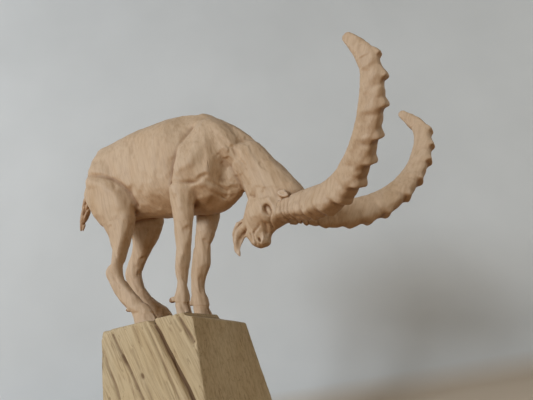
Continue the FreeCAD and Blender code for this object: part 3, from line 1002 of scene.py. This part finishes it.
def build_tail():
    low, high = box_mm("tail")
    clay = Clay(low - 6, high + 6, TAIL_VOXEL)
    clay.d = clay.of_node("tail")
    clay.soften(1.4)
    # five slanting cuts across the hair, and one along it
    for k in range(5):
        x, h = -142 - 3.4 * k, 244 - 15 * k
        clay.stroke([(x, h + 6), (x - 16, h - 12)], 1.7, -1.8, inner=-9)
    clay.stroke([(-147, 254), (-156, 226), (-164, 200), (-175, 176)], 1.8, -1.5, inner=-9)
    bore(clay, "tail_dowel")
    piece = animal_piece("Tail", clay, facet=6.0, seed=17, stretch=(1.0, 1.0, 2.0), reach=2.5)
    finish_piece(piece, "tail", WOOD_TAIL)


def build_horn(side):
    node = "right_horn" if side < 0 else "left_horn"
    piece = horn_piece(side, node.capitalize())
    finish_piece(piece, node, WOOD_HORN)
    return piece


# Splits down the block's right face, from the top: x and height above the hooves, then
# half width and depth
SPLITS = [
    ([(-15, 0), (-2, -22), (8, -46), (20, -70), (33, -98), (52, -150), (62, -182)], 3.2, 8.0),
    ([(-22, -4), (-12, -28), (0, -58), (14, -92), (34, -150)], 1.6, 2.8),
    ([(-82, -8), (-72, -30), (-57, -56), (-46, -78), (-34, -102), (-16, -150), (-6, -182)],
     1.6, 3.4),
    ([(-101, -30), (-96, -48), (-88, -66), (-81, -82), (-66, -124), (-50, -180)], 1.5, 2.8),
    ([(29, -4), (36, -18), (49, -42)], 2.0, 4.0),
    ([(20, -2), (26, -16), (31, -24)], 1.8, 2.4),
    ([(-48, -34), (-38, -60), (-32, -74)], 1.5, 1.8),
    ([(-66, -40), (-58, -60)], 1.4, 1.5),
    ([(-34, -70), (-22, -98), (-8, -140)], 1.6, 2.0),
    ([(4, -84), (16, -116), (30, -160)], 1.6, 2.2),
    ([(-94, -92), (-84, -120), (-70, -160)], 1.6, 2.2),
    ([(-40, -6), (-36, -20), (-30, -34)], 1.4, 1.6),
]
GRAIN_LEAN = 0.42  # how far the splits run towards +X for each step down


def split_relief(points, faces):
    """Moves the block's sides in, strip by strip, as wood splits along its grain."""
    normals = vertex_normals(points, faces)
    down = TREAD - points[:, 2]
    # noise drawn out along the leaning grain
    run = points - np.outer(down, (GRAIN_LEAN, 0, 0))
    strips = lattice_noise(run, (13, 15, 230), 3)
    crevice = 1 - smoothstep(np.abs(strips), 0.0, 0.14)
    fibres = lattice_noise(run, (2.6, 2.8, 60), 5)
    slabs = lattice_noise(run, (38, 42, 300), 9)
    broad = lattice_noise(points, 60, 7)
    rough = 1.0 * slabs + 0.7 * broad + 0.28 * fibres - 0.9 * crevice - 1.0
    # roughest on the right side, and not at all on the flat top and foot
    share = 0.45 + 0.55 * smoothstep(-normals[:, 1], 0.2, 0.7)
    upright = 1 - smoothstep(np.abs(normals[:, 2]), 0.55, 0.85)
    return points + normals * (rough * share * upright)[:, None]


def build_block():
    low, high = box_mm("base_block")
    clay = Clay(low - 6, high + 6, BLOCK_VOXEL)
    clay.d = clay.of_node("base_block")
    # the top's rear edge is fuller than the CAD's
    clay.join(rod(at(-102, -42, -6), at(-98, 34, -6), 6, 6), 8)
    # two ledges split off the top, before the front hooves and beside the left ones, and
    # a bevel along the rear of its right edge
    far_corner = at(120, 120, 10)
    clay.carve(beyond(at(42, -48, -5.5), (0.33, 0.03, 1), at(42.5, -90, -45), far_corner), 1)
    clay.carve(beyond(at(20, 46, -4), (0.12, 0.1, 1), at(-130, 46.5, -45), far_corner), 1)
    clay.carve(beyond(at(-60, -52, -2), (-0.03, -0.55, 0.8), at(-110, -66, -30), at(20, -30, 6)), 1)
    for line, width, depth in SPLITS:
        clay.stroke(line, width, -depth, 30, -1)
    clay.soften(0.8)
    clay.d = np.maximum(clay.d, clay.z - TREAD)
    bore(clay, *[n for n in DOWELS if "hoof" in n])
    points, faces = clay.mesh()
    # how hollow each place is, for the painted shade in the splits
    hollow = clay.hollowness(points, 5.0)
    points = split_relief(points, faces)
    piece = make_object("Split_block", points, faces.tolist(), hollow)
    finish_piece(piece, "base_block", WOOD_BLOCK)


horns = [build_horn(side) for side in SIDES]
build_torso()
build_head(horns)
for k, leg in enumerate(LEGS):
    build_leg(leg, 13 + k)
build_tail()
build_block()

for name in DOWELS:
    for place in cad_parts[name].material_slots:
        place.material = WOOD_DOWEL

# ---- camera, light and floor

CAMERA_AT = Vector((0.449, -0.676, TREAD * MM - 0.104))
HEADING, PITCH, ROLL = (math.radians(v) for v in (23.0, 18.0, 9.5))
FOCAL_SHARE = 550 / 533  # focal length over the frame's width
SENSOR = 36.0

# The stage, in metres: half its width and depth, the wall's height and distance, and the
# radius of the bend between floor and wall
STAGE_HALF, WALL_RISE, WALL_BACK, STAGE_BEND = 3.0, 2.6, 0.62, 0.25
FLOOR_COLOUR, FLOOR_TO_WALL = (0.55, 0.44, 0.32), 0.05  # the height where the floor's colour ends

TARGET = (0.05, 0, 0.36)
# Each light's place, target, size, power in watts and colour
LIGHTS = {
    "Key": ((-0.95, -2.95, 1.26), TARGET, 1.0, 77, (0.84, 0.92, 1.02)),
    "Fill": ((1.6, -0.9, 0.9), (0.6, 0.4, 0.3), 0.8, 3.6, (1.0, 0.90, 0.74)),
    "Wash": ((-1.6, -1.2, 1.3), (-0.6, 0.62, 0.5), 1.0, 6, (1.0, 0.98, 0.96)),
    "Backdrop": ((1.5, 0.0, 0.9), (0.75, 1.0, 0.25), 0.6, 3.8, (0.92, 0.97, 1.0)),
}
ROOM_COLOUR, ROOM_STRENGTH = (1.0, 0.68, 0.42), 0.035


def add_camera():
    level_right = Vector((math.cos(HEADING), math.sin(HEADING), 0))
    level_ahead = Vector((-math.sin(HEADING), math.cos(HEADING), 0))
    up = Vector((0, 0, 1))
    ahead = level_ahead * math.cos(PITCH) + up * math.sin(PITCH)
    top = -level_ahead * math.sin(PITCH) + up * math.cos(PITCH)
    right = level_right * math.cos(ROLL) - top * math.sin(ROLL)
    top = level_right * math.sin(ROLL) + top * math.cos(ROLL)
    data = bpy.data.cameras.new("Camera")
    data.sensor_width = SENSOR
    data.lens = SENSOR * FOCAL_SHARE
    data.clip_start = 0.01
    camera = bpy.data.objects.new("Camera", data)
    turn = Matrix((right, top, -ahead)).transposed().to_4x4()
    camera.matrix_world = Matrix.Translation(CAMERA_AT) @ turn
    bpy.context.collection.objects.link(camera)
    bpy.context.scene.camera = camera


def add_light(name, place, target, size, power, colour):
    data = bpy.data.lights.new(name, "AREA")
    data.size, data.energy, data.color = size, power, colour
    light = bpy.data.objects.new(name, data)
    light.location = place
    light.rotation_euler = (Vector(target) - Vector(place)).to_track_quat("-Z", "Y").to_euler()
    bpy.context.collection.objects.link(light)


def stage_material():
    m = Nodes("Pale stage")
    mottled = m.noise(m.place, 3.0, 3.0)
    wall = m.ramp(mottled, [(0.3, (0.63, 0.635, 0.615)), (0.7, (0.69, 0.695, 0.675))])
    up = m.spread(m.height_of(m.place), 0.0, FLOOR_TO_WALL, 0.0, 1.0)
    m.paint(m.mix("MIX", up, FLOOR_COLOUR, wall), 0.9)
    # the wall has no back, so it doesn't hide the animal from behind
    clear = m.new("ShaderNodeBsdfTransparent").outputs["BSDF"]
    sides = {0: m.geometry("Backfacing"), 1: m.shader.outputs["BSDF"], 2: clear}
    one_sided = m.new("ShaderNodeMixShader", sides).outputs["Shader"]
    m.put(m.tree.nodes["Material Output"].inputs["Surface"], one_sided)
    return m.material


def add_stage():
    """A floor that bends up into a wall behind the animal, square to the camera's heading."""
    bend_from = WALL_BACK - STAGE_BEND
    profile = [(-STAGE_HALF, 0.0), (bend_from, 0.0)]
    for k in range(1, 9):
        a = math.radians(90 * k / 9)
        out, up = STAGE_BEND * math.sin(a), STAGE_BEND - STAGE_BEND * math.cos(a)
        profile.append((bend_from + out, up))
    profile += [(WALL_BACK, STAGE_BEND), (WALL_BACK, WALL_RISE)]
    points = [(x, y, z) for y, z in profile for x in (-STAGE_HALF, STAGE_HALF)]
    faces = [(2 * k, 2 * k + 1, 2 * k + 3, 2 * k + 2) for k in range(len(profile) - 1)]
    mesh = bpy.data.meshes.new("Stage")
    mesh.from_pydata(points, [], faces)
    floor = bpy.data.objects.new("Stage", mesh)
    floor.rotation_euler = (0, 0, HEADING)
    mesh.materials.append(stage_material())
    mesh.polygons.foreach_set("use_smooth", [True] * len(faces))
    bpy.context.collection.objects.link(floor)


def add_room_light():
    world = bpy.data.worlds.new("Soft room")
    world.use_nodes = True
    background = world.node_tree.nodes["Background"]
    background.inputs["Color"].default_value = (*ROOM_COLOUR, 1)
    background.inputs["Strength"].default_value = ROOM_STRENGTH
    bpy.context.scene.world = world


add_camera()
add_stage()
for name, light in LIGHTS.items():
    add_light(name, *light)
add_room_light()
bpy.context.scene.view_settings.view_transform = "Standard"
